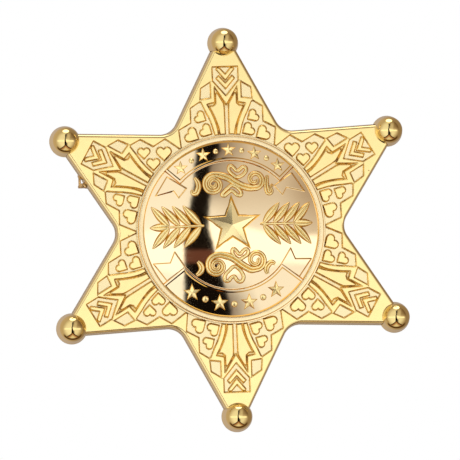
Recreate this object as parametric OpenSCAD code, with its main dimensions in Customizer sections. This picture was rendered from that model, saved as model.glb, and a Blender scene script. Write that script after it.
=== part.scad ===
// Six-pointed star badge with a ball on each point, a domed seal in the middle and a bar pin
// on its back. The badge lies face up: +Z leaves the face, +Y points at the top ball, the
// middle of the star is at X = Y = 0, and Z = 0 is the lowest line of the pin.

/* [Star] */
// Height over the top and bottom balls
badge_span = 75; // [60:0.5:95]
// Distance across opposite notches, to their corners before rounding
notch_span = 41.6; // [40:0.2:54]
// Width of a point at the middle of its ball
tip_w = 3.4; // [2:0.1:4.4]
// Radius in each notch
notch_r = 3.3; // [1:0.1:5]
// Thickness of the star
plate_t = 2.8; // [2:0.1:4]
// Bevel round the star's front edge
bevel = 0.5; // [0.2:0.05:0.8]
// Depth of the sunk ornament and of the seal's seat
relief_d = 0.4; // [0.2:0.05:0.7]
// Width of each small heart
heart_w = 2.3; // [1.4:0.1:3]

/* [Balls] */
// Diameter of each ball's collar at the back of the star
collar_d = 5.8; // [4.4:0.1:7]
// Diameter of each ball
ball_d = 5; // [4:0.1:6.6]
// Height of the collar above the star's face
collar_rise = 0.6; // [0.2:0.1:1.5]
// How far a point reaches past the middle of its ball
tip_past = 0.8; // [0.3:0.1:1.4]
// Clearance round a point inside its ball
ball_gap = 0.05; // [0.03:0.01:0.2]

/* [Seal] */
// Diameter of the seal's flat edge
seal_d = 35.2; // [28:0.2:38]
// Width of the flat edge outside the bead
seal_edge_w = 0.35; // [0.25:0.05:1.2]
// Width of the bead round the dome
bead_w = 0.9; // [0.6:0.05:1.8]
// Height of the bead above the star's face
bead_rise = 0.75; // [0.4:0.05:1.2]
// Height of the dome above its own edge
dome_h = 2.5; // [1:0.1:5]
// Thickness of the seal's metal
seal_wall = 1; // [0.6:0.05:1.4]
// Height of the raised work on the dome
dome_relief = 0.35; // [0.15:0.05:0.6]
// Clearance round the seal in its seat
seal_gap = 0.05; // [0.03:0.01:0.2]

/* [Pin] */
// Length of the pin's strip
pin_l = 51.5; // [30:0.5:54]
// Width of the strip
pin_w = 2.5; // [1.8:0.1:4]
// Thickness of the strip's metal
strip_t = 0.5; // [0.3:0.05:0.8]
// Depth of the whole pin behind the star
pin_depth = 3; // [2.4:0.1:3.6]
// Diameter of the pin's wire
wire_d = 0.9; // [0.6:0.05:1.2]
// How far above the middle of the star the pin lies
pin_y = 10; // [4:0.5:12]
// How far the hinge end reaches past the star's edge
pin_out = 0.7; // [0:0.1:1.5]

/* [Hidden] */
$fn = 64;
POINTS = 6;
turn = 360 / POINTS;

// Cutters run past the faces that they cut by this much
over = 1;

// Levels
back_z = pin_depth;
face_z = back_z + plate_t;
floor_z = face_z - relief_d;

// Outline of the star: each point narrows from its two notches to its ball
ball_r = (badge_span - collar_d) / 2;
notch_x = notch_span / 2 * sin(turn / 2);
notch_y = notch_span / 2 * cos(turn / 2);
slope = (notch_x - tip_w / 2) / (ball_r - notch_y);
edge_turn = atan(slope);
tip_end = ball_r + tip_past;
function half_w(r) = tip_w / 2 + (ball_r - r) * slope;

// Rounding circle of a notch, which touches both edges
notch_open = edge_turn + turn / 2;
notch_c = notch_span / 2 + notch_r / sin(notch_open);
notch_touch = notch_r / tan(notch_open);

// Seal
seal_r = seal_d / 2;
bead_r = seal_r - seal_edge_w - bead_w / 2;
dome_r = bead_r - bead_w / 2;
dome_z = face_z + bead_rise / 3;
dome_R = (dome_r * dome_r + dome_h * dome_h) / (2 * dome_h);
dome_cz = dome_z + dome_h - dome_R;

// Ornament of one point. Each row is [across, along]: across is a share of the half width at
// the notches, and along runs from 0 at the seal's edge to 1 at the middle of the ball.
// Rows go down the right side, and the left side mirrors them.
PANEL = [[0.230, 0.735], [0.230, 0.578], [0.262, 0.578], [0.450, 0.506], [0.470, 0.364],
         [0.647, 0.295], [0.647, 0.135], [0.867, 0.062]];
BAND = [[0.240, 0.592], [0.275, 0.592], [0.275, 0.400], [0.483, 0.383], [0.483, 0.360],
        [0.450, 0.353], [0.379, 0.255], [0.322, 0.186], [0.271, 0.106], [0.207, -0.04],
        [0.156, -0.04], [0.169, 0.059], [0.186, 0.107], [0.222, 0.176], [0.277, 0.255],
        [0.345, 0.333], [0.204, 0.352], [0.204, 0.523]];
// A panel's foot at the seal stops this many degrees short of the notch
foot_turn = 0.5;
BAND_TOP = 0.420;
BAND_LOW = 0.323;
LOBE = [[0.150, 0.450], [0.186, 0.446], [0.186, 0.341], [0.235, 0.313], [0.306, 0.308],
        [0.258, 0.250], [0.204, 0.176], [0.162, 0.106], [0.141, 0.059], [0.117, -0.04],
        [0.033, -0.04], [0.037, 0.287], [0.047, 0.340]];
// Chevrons as [inner corner, outer corner, rows of the right arm's end]
CHEVRONS = [[0.655, 0.587, [[0.100, 0.724], [0.147, 0.724], [0.159, 0.707]]],
            [0.559, 0.494, [[0.122, 0.640], [0.166, 0.610]]]];
// Hearts as [across, along, turn from upright, share of the hearts' width]
HEARTS = [[0.460, 0.189, -60, 1], [0.367, 0.043, -60, 1.07], [0.622, -0.004, -60, 1.22]];

// Raised work on the dome, as shares of the dome's radius, right side only
RIBBON_TAIL = [[0.712, 0.614], [0.849, 0.401], [0.640, 0.449], [0.591, 0.368], [0.500, 0.473]];
SCROLL_TAIL = [[0.545, -0.420], [0.660, -0.242], [0.711, -0.364], [0.898, -0.367],
               [0.753, -0.565]];
ribbon_in = 0.773;
ribbon_half = 47;
scroll_in = 0.689;
scroll_half = 53;
ribbon_out = 0.985;
// The middle band, a star between two sprays, lies this far above the middle of the dome
band_up = 0.04;
star_out = 0.31;
star_in = 0.128;
LEAF_PAIRS = 4;

// Rows of the right side, then what closes them on the axis, then the left side
function both_sides(rows, low = []) =
    concat(rows, low, [for (i = [len(rows) - 1 : -1 : 0]) [-rows[i][0], rows[i][1]]]);
function spot(row) = [row[0] * notch_x, seal_r + row[1] * (ball_r - seal_r)];
function spots(rows) = [for (row = rows) spot(row)];
function dome_spots(rows) = [for (row = rows) row * dome_r];
function polar(r, a) = [r * cos(a), r * sin(a)];

// Places a child once on every point, drawn for the point along +Y
module each_point() {
    for (i = [0 : POINTS - 1]) rotate(-i * turn) children();
}

// Outline of one point, from the middle of the star to its cut end, grown by a clearance
module point_2d(grow = 0) {
    end_w = half_w(tip_end);
    polygon([[0, 0], [notch_x + grow, notch_y], [end_w + grow, tip_end + grow],
             [-end_w - grow, tip_end + grow], [-notch_x - grow, notch_y]]);
}

function turned(row, a) = [row[0] * cos(a) + row[1] * sin(a), row[1] * cos(a) - row[0] * sin(a)];

// Corners of one point: the middle of the rounding circle on its left, where its left edge
// starts, its cut end, and where its right edge stops
function point_corners() =
    let (touch_x = notch_x - notch_touch * sin(edge_turn))
    let (touch_y = notch_y + notch_touch * cos(edge_turn))
    [turned([0, notch_c], -turn / 2), [-touch_x, touch_y], [-half_w(tip_end), tip_end],
     [half_w(tip_end), tip_end], [touch_x, touch_y]];

module star_2d() {
    difference() {
        polygon([for (i = [0 : POINTS - 1], corner = point_corners()) turned(corner, i * turn)]);
        each_point() rotate(-turn / 2) translate([0, notch_c]) circle(notch_r);
    }
}

// Cutter that bevels the front edge at 45 degrees on one side of a point
module edge_bevel(side) {
    edge_l = (tip_end - notch_y) / cos(edge_turn) + over;
    translate([side * notch_x, notch_y, face_z - bevel]) rotate([0, 0, side * edge_turn])
        translate([0, notch_touch, 0]) rotate([0, -side * 45, 0])
            translate([side > 0 ? 0 : -2 * bevel, 0, 0]) cube([2 * bevel, edge_l, 2 * bevel]);
}

// Cutter that bevels the front edge round a notch
module notch_bevel() {
    rotate(-turn / 2) translate([0, notch_c, face_z - bevel]) rotate_extrude()
        polygon([[0, 0], [notch_r, 0], [notch_r + bevel, bevel], [notch_r + bevel, 2 * bevel],
                 [0, 2 * bevel]]);
}

// Heart with round lobes, whose straight sides run into them just inside where they would touch
module heart_2d(w) {
    lobe_r = 0.27 * w;
    lobe_x = w / 2 - lobe_r;
    tip_y = -0.62 * w;
    reach = norm([lobe_x, tip_y]);
    side_l = sqrt(reach * reach - lobe_r * lobe_r);
    side_turn = atan2(lobe_x, -tip_y) + asin(lobe_r / reach);
    touch = [side_l * sin(side_turn), tip_y + side_l * cos(side_turn)];
    inside = touch + 0.02 * ([lobe_x, 0] - touch);
    for (side = [-1, 1]) translate([side * lobe_x, 0]) circle(lobe_r, $fn = 32);
    polygon([[0, tip_y], inside, [lobe_x, 0], [-lobe_x, 0], [-inside[0], inside[1]]]);
}

// Outline with a corner above and one below on the axis, and rows down its right side
module folded_2d(top, low, rows) {
    polygon(spots(concat([[0, top]], both_sides(rows, [[0, low]]))));
}

// What stays at the level of the face inside the sunk panel of one point
module raised_2d() {
    folded_2d(BAND_TOP, BAND_LOW, BAND);
    for (row = CHEVRONS) folded_2d(row[0], row[1], row[2]);
    for (side = [0, 1]) mirror([side, 0]) {
        polygon(spots(LOBE));
        for (row = HEARTS) translate(spot(row)) rotate(row[2])
            translate([0, row[3] * heart_w / 6]) heart_2d(row[3] * heart_w);
    }
}

// Sunk panel of one point, which runs from its top box to the seal
module panel_2d() {
    foot = polar(seal_r, 90 - turn / 2 + foot_turn);
    polygon(concat(spots(PANEL), [foot, [0, seal_r / 2], [-foot[0], foot[1]]],
                   spots([for (i = [len(PANEL) - 1 : -1 : 0]) [-PANEL[i][0], PANEL[i][1]]])));
}

module star_plate() {
    color("goldenrod") difference() {
        translate([0, 0, back_z]) linear_extrude(plate_t) star_2d();
        each_point() {
            edge_bevel(1);
            edge_bevel(-1);
            notch_bevel();
            translate([0, 0, floor_z]) linear_extrude(relief_d + over) difference() {
                panel_2d();
                raised_2d();
            }
        }
        translate([0, 0, floor_z]) cylinder(r = seal_r + seal_gap, h = relief_d + over);
    }
}

// Ball of one point on its collar, which narrows up to the ball, with a notch below that caps
// the point
module ball_tip(i) {
    collar_top = face_z + collar_rise;
    color("gold") rotate(-i * turn) difference() {
        union() {
            translate([0, ball_r, back_z])
                cylinder(d1 = collar_d, d2 = ball_d, h = collar_top - back_z);
            translate([0, ball_r, collar_top]) intersection() {
                sphere(d = ball_d);
                cylinder(d = ball_d + over, h = ball_d);
            }
        }
        translate([0, 0, back_z - over]) linear_extrude(plate_t + over) point_2d(ball_gap);
    }
}

// Half section of the seal: a flat edge in the seat, the bead, and the domed shell
module seal_section() {
    difference() {
        union() {
            translate([dome_r - seal_wall, floor_z])
                square([seal_r - dome_r + seal_wall, dome_z - floor_z]);
            translate([bead_r, face_z + bead_rise - bead_w / 2]) circle(bead_w / 2, $fn = 32);
            intersection() {
                translate([0, dome_cz]) circle(dome_R);
                translate([0, floor_z]) square([bead_r, dome_z + dome_h]);
            }
        }
        intersection() {
            translate([0, dome_cz]) circle(dome_R - seal_wall);
            square([dome_r - seal_wall, dome_z + dome_h]);
        }
    }
}

module ring_part_2d(r_in, r_out, middle, half) {
    intersection() {
        difference() {
            circle(r_out);
            circle(r_in);
        }
        polygon([[0, 0], polar(2 * r_out, middle - half), polar(2 * r_out, middle),
                 polar(2 * r_out, middle + half)]);
    }
}

module leaf_2d(l, w) {
    bow = (l * l + w * w) / (4 * w);
    translate([l / 2, 0]) intersection_for(side = [-1, 1])
        translate([0, side * (bow - w / 2)]) circle(bow);
}

// Spray of leaves to the right of the middle star
module spray_2d() {
    first = 0.35 * dome_r;
    step = 0.118 * dome_r;
    leaf_l = 0.32 * dome_r;
    leaf_w = 0.085 * dome_r;
    leaf_turn = 50;
    stem_w = 0.024 * dome_r;
    stem_l = (LEAF_PAIRS - 0.5) * step;
    end_leaf_l = 0.23 * dome_r;
    for (i = [0 : LEAF_PAIRS - 1], side = [-1, 1]) translate([first + i * step, 0])
        rotate(side * leaf_turn) leaf_2d(leaf_l, leaf_w);
    translate([first, -stem_w / 2]) square([stem_l, stem_w]);
    translate([first + stem_l - end_leaf_l / 4, 0]) leaf_2d(end_leaf_l, leaf_w);
}

module five_star_2d(r_out, r_in) {
    polygon([for (k = [0 : 9]) polar((k % 2 == 0 ? r_out : r_in) * dome_r, 90 + 36 * k)]);
}

// Lays a flat outline on the dome, raised by h
module on_dome(h) {
    intersection() {
        translate([0, 0, floor_z]) linear_extrude(dome_z + dome_h) children();
        difference() {
            translate([0, 0, dome_cz]) sphere(dome_R + h);
            translate([0, 0, dome_cz]) sphere(dome_R - seal_wall / 2);
        }
    }
}

module medallion() {
    color("khaki") {
        rotate_extrude() seal_section();
        on_dome(dome_relief / 2) {
            ring_part_2d(ribbon_in * dome_r, ribbon_out * dome_r, 90, ribbon_half);
            ring_part_2d(scroll_in * dome_r, ribbon_out * dome_r, -90, scroll_half);
            for (side = [0, 1]) mirror([side, 0]) {
                polygon(dome_spots(RIBBON_TAIL));
                polygon(dome_spots(SCROLL_TAIL));
            }
        }
        on_dome(dome_relief) translate([0, band_up * dome_r]) {
            five_star_2d(star_out, star_in);
            for (side = [0, 1]) mirror([side, 0]) spray_2d();
        }
    }
}

// Bar pin: a strip with a hinge knuckle at the left, the wire, and a hooked catch at the right
module pin_back() {
    notch_edge = notch_span / 2;
    tip_corner = [ball_r * cos(turn / 2) + tip_w / 2 * sin(turn / 2),
                  ball_r * sin(turn / 2) - tip_w / 2 * cos(turn / 2)];
    edge_x = notch_edge + pin_y / tip_corner[1] * (tip_corner[0] - notch_edge);
    left = -edge_x - pin_out;
    right = left + pin_l;
    ear_w = 3.2;
    hook_w = 2.4;
    wire_z = pin_depth / 2 - strip_t / 2;
    color("silver") translate([0, pin_y, 0]) {
        translate([left, -pin_w / 2, pin_depth - strip_t]) cube([pin_l, pin_w, strip_t]);
        for (side = [-1, 1]) translate([left, side * (pin_w - strip_t) / 2 - strip_t / 2, 0])
            cube([ear_w, strip_t, pin_depth]);
        translate([left + ear_w / 2, -pin_w / 2, wire_z]) rotate([-90, 0, 0])
            cylinder(d = ear_w / 2, h = pin_w);
        translate([left + ear_w / 2, 0, wire_z]) rotate([0, 90, 0])
            cylinder(d = wire_d, h = pin_l - ear_w / 2 - strip_t);
        translate([right - hook_w, pin_w / 2 - strip_t, 0]) cube([hook_w, strip_t, pin_depth]);
        translate([right - hook_w, -wire_d, 0]) cube([hook_w, pin_w / 2 + wire_d, strip_t]);
        translate([right - hook_w, -wire_d - strip_t, 0]) cube([hook_w, strip_t, wire_z]);
    }
}

star_plate();
ball_tip(0);  // ball_tip_1
ball_tip(1);  // ball_tip_2
ball_tip(2);  // ball_tip_3
ball_tip(3);  // ball_tip_4
ball_tip(4);  // ball_tip_5
ball_tip(5);  // ball_tip_6
medallion();
pin_back();
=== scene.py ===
import cmath
import math
from itertools import groupby

import bmesh
import bpy
import numpy as np
from mathutils import Matrix, Vector, geometry


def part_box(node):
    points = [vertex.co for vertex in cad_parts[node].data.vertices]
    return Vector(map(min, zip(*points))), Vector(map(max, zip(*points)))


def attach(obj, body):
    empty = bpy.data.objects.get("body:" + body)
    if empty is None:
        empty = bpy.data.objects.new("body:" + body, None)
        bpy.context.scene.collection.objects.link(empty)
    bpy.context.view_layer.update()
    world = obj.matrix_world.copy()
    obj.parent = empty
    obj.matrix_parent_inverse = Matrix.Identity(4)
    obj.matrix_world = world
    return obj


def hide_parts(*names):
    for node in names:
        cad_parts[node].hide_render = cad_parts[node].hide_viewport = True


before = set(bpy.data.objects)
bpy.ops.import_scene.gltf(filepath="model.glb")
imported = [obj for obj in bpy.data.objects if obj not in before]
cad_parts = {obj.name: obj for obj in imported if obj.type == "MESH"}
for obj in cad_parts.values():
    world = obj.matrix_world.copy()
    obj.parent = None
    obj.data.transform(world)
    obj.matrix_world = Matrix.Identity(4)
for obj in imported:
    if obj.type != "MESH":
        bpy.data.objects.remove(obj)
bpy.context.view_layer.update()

# Star plate. A zinc casting with gold plate and six points, each with a sunk, matt panel whose
# band, leaves, chevrons and hearts stand level with the polished face. Its walls lean in, so that
# it leaves its mould, and its front edge is rounded off. Lengths below are millimetres.
MM = 0.001
POINTS = 6
TURN = 2 * math.pi / POINTS
NOTCH_ANGLE = math.pi / 2 - TURN / 2


def corners(node):
    """Lowest and highest corner of a node in millimetres"""
    low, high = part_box(node)
    return low / MM, high / MM


star_low, star_high = corners("star_plate")
top_ball_low, top_ball_high = corners("ball_tip_1")
_, seal_high = corners("medallion")
back_z = star_low.z
face_z = star_high.z
tip_end = star_high.y
ball_r = (top_ball_low.y + top_ball_high.y) / 2
seal_r = seal_high.x
RELIEF_DEPTH = 0.4
floor_z = face_z - RELIEF_DEPTH
NOTCH_SPAN = 41.6
NOTCH_R = 3.3
TIP_W = 3.4
EDGE_ROUND = 0.52
BACK_ROUND = 0.12
BACK_BORDER = 0.25
DRAFT = math.radians(7.5)
SEAT_GAP = 0.05
WALL_W = 0.34
GROOVE_W = 0.4
# Steps of the notch's arc, a point's side, its end, and its rounded front edge
ARC_STEPS = 12
SIDE_STEPS = 18
END_STEPS = 4
EDGE_STEPS = 7

notch_way = cmath.rect(1, NOTCH_ANGLE)
notch_x = NOTCH_SPAN / 2 * notch_way.real
notch_y = NOTCH_SPAN / 2 * notch_way.imag
slope = (notch_x - TIP_W / 2) / (ball_r - notch_y)
edge_turn = math.atan(slope)
notch_c = NOTCH_SPAN / 2 + NOTCH_R / math.sin(edge_turn + TURN / 2)
notch_middle = notch_c * notch_way
draft_in = (face_z - EDGE_ROUND - back_z) * math.tan(DRAFT)
face_in = draft_in + EDGE_ROUND

# Ornament of one point as rows of (across, along). Across is a share of the half width at the
# notches, and along runs from 0 at the seal's edge to 1 at the middle of the ball. Rows go down
# the right side.
PANEL = [(0.230, 0.735), (0.230, 0.578), (0.262, 0.578), (0.450, 0.506), (0.470, 0.364),
         (0.647, 0.295), (0.647, 0.135), (0.867, 0.062)]
PANEL_FOOT_TURN = math.radians(0.5)
BAND = [(0.240, 0.592), (0.275, 0.592), (0.275, 0.400), (0.483, 0.383), (0.483, 0.360),
        (0.450, 0.353), (0.379, 0.255), (0.322, 0.186), (0.271, 0.106), (0.207, -0.04),
        (0.156, -0.04), (0.169, 0.059), (0.186, 0.107), (0.222, 0.176), (0.277, 0.255),
        (0.345, 0.333), (0.204, 0.352), (0.204, 0.523)]
BAND_TOP = 0.420
BAND_LOW = 0.323
LOBE = [(0.150, 0.450), (0.186, 0.446), (0.186, 0.341), (0.235, 0.313), (0.306, 0.308),
        (0.258, 0.250), (0.204, 0.176), (0.162, 0.106), (0.141, 0.059), (0.117, -0.04),
        (0.033, -0.04), (0.037, 0.287), (0.047, 0.340)]
# Chevrons as (inner corner, outer corner, rows of the right arm's end)
CHEVRONS = [(0.655, 0.587, [(0.100, 0.724), (0.147, 0.724), (0.159, 0.707)]),
            (0.559, 0.494, [(0.122, 0.640), (0.166, 0.610)])]
# Hearts as (across, along, turn from upright in degrees, share of the hearts' width)
HEARTS = [(0.460, 0.189, -60, 1), (0.367, 0.043, -60, 1.07), (0.622, -0.004, -60, 1.22)]
HEART_W = 2.3
# Shares of a heart's width: its lobes' radius, its tip's depth, and how far it is set up
HEART_LOBE = 0.27
HEART_TIP = 0.62
HEART_UP = 1 / 6


def spot(across, along):
    return complex(across * notch_x, seal_r + along * (ball_r - seal_r))


def other_side(points):
    """Points mirrored across the axis, in reverse order"""
    return [-p.conjugate() for p in reversed(points)]


def folded(top, low, rows):
    """Outline with a corner above and one below on the axis, and rows down its right side"""
    right = [spot(*row) for row in rows]
    return [spot(0, top)] + right + [spot(0, low)] + other_side(right)


def heart(across, along, turn, share):
    """Outline of a heart whose round lobes run into straight sides that meet in a tip"""
    width = share * HEART_W
    lobe_r = HEART_LOBE * width
    lobe_x = width / 2 - lobe_r
    tip = complex(0, -HEART_TIP * width)
    reach = abs(complex(lobe_x, 0) - tip)
    side_l = math.sqrt(reach * reach - lobe_r * lobe_r)
    side_turn = math.atan2(lobe_x, -tip.imag) + math.asin(lobe_r / reach)
    touch = tip + side_l * complex(math.sin(side_turn), math.cos(side_turn))
    start = cmath.phase(touch - lobe_x)
    dip = math.pi - math.acos(lobe_x / lobe_r) if lobe_x < lobe_r else math.pi
    right = [lobe_x + cmath.rect(lobe_r, angle) for angle in np.linspace(start, dip, ARC_STEPS + 1)]
    right[-1] = complex(0, right[-1].imag)
    outline = [tip] + right + other_side(right[:-1])
    lean = cmath.rect(1, math.radians(turn))
    return [spot(across, along) + lean * (p + complex(0, HEART_UP * width)) for p in outline]


def ring(radius, start=0.0, stop=2 * math.pi, count=96):
    """Points along an arc about the middle, with angles from +X"""
    return [cmath.rect(radius, start + (stop - start) * i / count) for i in range(count + 1)]


def depth_inside(points, outline):
    """Distance of each point from a closed outline, positive inside it"""
    start = np.array(outline)
    side = np.roll(start, -1) - start
    rel = points[:, None] - start[None, :]
    along = np.clip((rel * side.conj()).real / np.abs(side) ** 2, 0, 1)
    distance = np.abs(rel - along * side).min(axis=1)
    stop = start + side
    level = points.imag[:, None]
    crosses = (start.imag <= level) != (stop.imag <= level)
    rise = np.where(side.imag == 0, 1, side.imag)
    at = start.real + (level - start.imag) / rise * side.real
    inside = (crosses & (points.real[:, None] < at)).sum(axis=1) % 2 == 1
    return np.where(inside, distance, -distance)


# Turns past this angle get a round corner, and a mitre's length stays under one over this share
ROUND_TURN = 0.5
MITRE_LEAST = 0.3


def beside(outline, shift, step):
    """Closed line beside an outline, to its inside where shift is positive, with round corners"""
    points = list(outline)
    if sum((a.conjugate() * b).imag for a, b in zip(points, points[1:] + points[:1])) < 0:
        points.reverse()
    count = len(points)
    followers = points[1:] + points[:1]
    ways = [(q - p) / abs(q - p) for p, q in zip(points, followers)]
    joins = []
    for i in range(count):
        before = 1j * ways[i - 1]
        after = 1j * ways[i]
        turn = cmath.phase(after / before)
        if turn * shift < 0 and abs(turn) > ROUND_TURN:
            half = (before + after) / abs(before + after)
            joins.append([points[i] + shift * n for n in (before, half, after)])
        else:
            mitre = (before + after) / max(1 + (before.conjugate() * after).real, MITRE_LEAST)
            joins.append([points[i] + shift * mitre])
    line = []
    for i in range(count):
        start = joins[i][-1]
        stop = joins[(i + 1) % count][0]
        pieces = max(1, round(abs(followers[i] - points[i]) / step))
        line += joins[i]
        line += [start + (stop - start) * k / pieces for k in range(1, pieces)]
    return line


# A wall's height over its width, and the lines of the mesh beside each outline
WALL_AT = (-0.5, -0.3, 0.0, 0.3, 0.5)
WALL_RISE = (0.0, 0.07, 0.5, 0.93, 1.0)
WALL_LINES = (-0.62, *WALL_AT, 0.62)
WALL_GAIN = 9


def wall_height(depth, width):
    return np.interp(depth / width, WALL_AT, WALL_RISE)


def wall_share(height):
    """How far a place with a share of the full height is on a wall"""
    return np.clip(WALL_GAIN * height * (1 - height), 0, 1)


SAME_SPOT = 1e-5


def flat_mesh(lines, keep):
    """Triangles between the lines whose middles pass keep, as points and corner numbers"""
    points = []
    sides = []
    for line, closed in lines:
        first = len(points)
        points += line
        sides += [(i, i + 1) for i in range(first, len(points) - 1)]
        if closed:
            sides.append((len(points) - 1, first))
    flat = [Vector((p.real, p.imag)) for p in points]
    found = geometry.delaunay_2d_cdt(flat, sides, [], 0, SAME_SPOT)
    spots = np.array([complex(v.x, v.y) for v in found[0]])
    faces = np.array(found[2])
    faces = faces[keep(spots[faces].mean(axis=1))]
    used, numbers = np.unique(faces, return_inverse=True)
    spots = spots[used]
    faces = numbers.reshape(-1, 3)
    first, second, third = (spots[faces[:, i]] for i in range(3))
    turned = ((second - first).conj() * (third - first)).imag < 0
    faces[turned] = faces[turned][:, ::-1]
    return spots, faces


def star_edge(inset):
    """Right half of a point's outline, set in, from the notch's middle to the axis"""
    radius = NOTCH_R + inset
    angles = np.linspace(NOTCH_ANGLE + math.pi, edge_turn + math.pi, ARC_STEPS + 1)
    arc = [notch_middle + cmath.rect(radius, angle) for angle in angles]
    end_y = tip_end - inset
    inward = inset / math.cos(edge_turn)
    corner = complex(TIP_W / 2 - (end_y - ball_r) * slope - inward, end_y)
    side = [arc[-1] + (corner - arc[-1]) * i / SIDE_STEPS for i in range(1, SIDE_STEPS + 1)]
    end = [complex(corner.real * (1 - i / END_STEPS), end_y) for i in range(1, END_STEPS + 1)]
    return arc + side + end


star_outline = star_edge(face_in)
panel_side = [spot(*row) for row in PANEL] + [cmath.rect(seal_r, NOTCH_ANGLE + PANEL_FOOT_TURN)]
panel = panel_side + [complex(0, seal_r / 2)] + other_side(panel_side)
lobe = [spot(*row) for row in LOBE]
raised = [folded(BAND_TOP, BAND_LOW, BAND), lobe]
raised += [folded(*row) for row in CHEVRONS]
raised += [heart(*row) for row in HEARTS]
seat_r = seal_r + SEAT_GAP
SEAT_ARC = (math.radians(58), math.radians(92))
LINE_STEP = 0.4
BORDER_LINES = (0.05, 0.2)
PAST_AXIS = 1
EDGE_CLEAR = 0.01
SNAP = 1e-3


def in_half_point(points):
    ray = points * notch_way.conjugate()
    outline = [0j] + star_outline
    return (points.real > 0) & (ray.imag > 0) & (depth_inside(points, outline) > 0)


def on_face(p):
    """Whether a point of a line stays clear of the rounded edge in the notch"""
    return p.real > -PAST_AXIS and abs(p - notch_middle) > NOTCH_R + face_in + EDGE_CLEAR


relief_lines = [([0j] + star_outline, True)]
relief_lines += [(star_edge(face_in + inset), False) for inset in BORDER_LINES]
for outline in [panel] + raised:
    for share in WALL_LINES:
        line = beside(outline, share * WALL_W, LINE_STEP)
        gaps = [i for i, p in enumerate(line) if not on_face(p)]
        if gaps:
            line = line[gaps[0]:] + line[:gaps[0]]
            relief_lines += [(list(run), False) for clear, run in groupby(line, on_face) if clear]
        else:
            relief_lines.append((line, True))
relief_lines += [(ring(seat_r + share * WALL_W, *SEAT_ARC), False) for share in WALL_LINES]

top_spots, top_faces = flat_mesh(relief_lines, in_half_point)
standing = np.max([depth_inside(top_spots, outline) for outline in raised], axis=0)
standing = np.maximum(standing, -depth_inside(top_spots, panel))
standing = np.minimum(standing, np.abs(top_spots) - seat_r)
height = wall_height(standing, WALL_W)
lobe_depth = depth_inside(top_spots, lobe)
in_lobe = wall_height(lobe_depth, WALL_W)
# The walls, and the narrow groove between the leaf and the band, are marked for painted shade
between = -lobe_depth - depth_inside(top_spots, raised[0])
in_groove = np.clip((GROOVE_W + WALL_W - between) / WALL_W, 0, 1) * (lobe_depth < 0) * (1 - height)
wall_shade_mask = np.maximum(wall_share(height), in_groove)


def flat_spot(p):
    return p.real, p.imag


def snapped(points):
    """Points with those on the point's axis and on its notch line set exactly on them"""
    points = np.where(np.abs(points.real) < SNAP, 1j * points.imag, points)
    ray = points * notch_way.conjugate()
    return np.where(np.abs(ray.imag) < SNAP, ray.real * notch_way, points)


def linked(name, data):
    """New object in the scene"""
    obj = bpy.data.objects.new(name, data)
    bpy.context.scene.collection.objects.link(obj)
    return obj


def smooth(mesh):
    mesh.polygons.foreach_set("use_smooth", [True] * len(mesh.polygons))


class Shape:
    """Vertices in millimetres, faces, and values for each vertex, which become one mesh"""

    def __init__(self):
        self.vertices = []
        self.faces = []
        self.values = {}

    def add(self, vertices, faces, **values):
        first = len(self.vertices)
        self.vertices += [tuple(v) for v in vertices]
        self.faces += [tuple(int(i) + first for i in face) for face in faces]
        for name, numbers in values.items():
            self.values.setdefault(name, [0.0] * first)
            self.values[name] += [float(n) for n in numbers]
        for name in set(self.values) - set(values):
            self.values[name] += [0.0] * len(vertices)

    def piece(self, name, weld=1e-6):
        """Object with this shape, welded, smooth, and at the origin"""
        mesh = bpy.data.meshes.new(name)
        mesh.from_pydata([Vector(v) * MM for v in self.vertices], [], self.faces)
        for label, numbers in self.values.items():
            mesh.attributes.new(label, "FLOAT", "POINT").data.foreach_set("value", numbers)
        weld_mesh(mesh, weld)
        return linked(name, mesh)


def weld_mesh(mesh, distance):
    work = bmesh.new()
    work.from_mesh(mesh)
    bmesh.ops.remove_doubles(work, verts=work.verts, dist=distance)
    work.to_mesh(mesh)
    work.free()
    smooth(mesh)
    mesh.update()


def rows_of_faces(rows, columns, closed=False):
    """Faces between rows of vertices, each row with the same number of columns"""
    faces = []
    for r in range(rows - 1):
        for c in range(columns if closed else columns - 1):
            here = r * columns + c
            there = r * columns + (c + 1) % columns
            faces.append((here, there, there + columns, here + columns))
    return faces


def quarter(steps):
    """Angles of a quarter turn in equal steps"""
    return np.linspace(0, math.pi / 2, steps + 1)


def foot_round(radius, low, steps=3):
    """Rows of (inset, height) of a rounded lower edge, from its bottom up"""
    return [(radius * (1 - math.sin(t)), low + radius * (1 - math.cos(t))) for t in quarter(steps)]


def edge_rows(grow=0.0):
    """The star's side as (inset, height), from the back up, grown by a clearance"""
    rows = foot_round(BACK_ROUND, back_z)
    rows += [(draft_in + EDGE_ROUND * (1 - math.cos(t)), face_z - EDGE_ROUND * (1 - math.sin(t)))
             for t in quarter(EDGE_STEPS)]
    return [(inset - grow, z) for inset, z in rows]


point_shape = Shape()
top_spots = snapped(top_spots)
face_part = [(*flat_spot(p), floor_z + RELIEF_DEPTH * h) for p, h in zip(top_spots, height)]
point_shape.add(face_part, top_faces, sunk=1 - height, lobe=in_lobe, wall=wall_shade_mask,
                across=top_spots.real, along=top_spots.imag)


def edge_at(inset, z):
    return [(*flat_spot(p), z) for p in snapped(np.array(star_edge(inset)))]


side_rows = edge_rows()
side_part = sum([edge_at(inset, z) for inset, z in side_rows], [])
columns = len(star_outline)
point_shape.add(side_part, rows_of_faces(len(side_rows), columns),
                across=[v[0] for v in side_part], along=[v[1] for v in side_part])
flat_back = edge_at(BACK_ROUND + BACK_BORDER, back_z)
point_shape.add(flat_back + side_part[:columns], rows_of_faces(2, columns))
point_shape.add([(0, 0, back_z)] + flat_back, [(0, i + 1, i) for i in range(1, columns)])
mirrored = [(-x, y, z) for x, y, z in point_shape.vertices]
turned_over = [face[::-1] for face in point_shape.faces]
left_values = {name: list(numbers) for name, numbers in point_shape.values.items()}
left_values["across"] = [-n for n in left_values["across"]]
point_shape.add(mirrored, turned_over, **left_values)
one_point = point_shape.piece("one_point")


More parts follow.
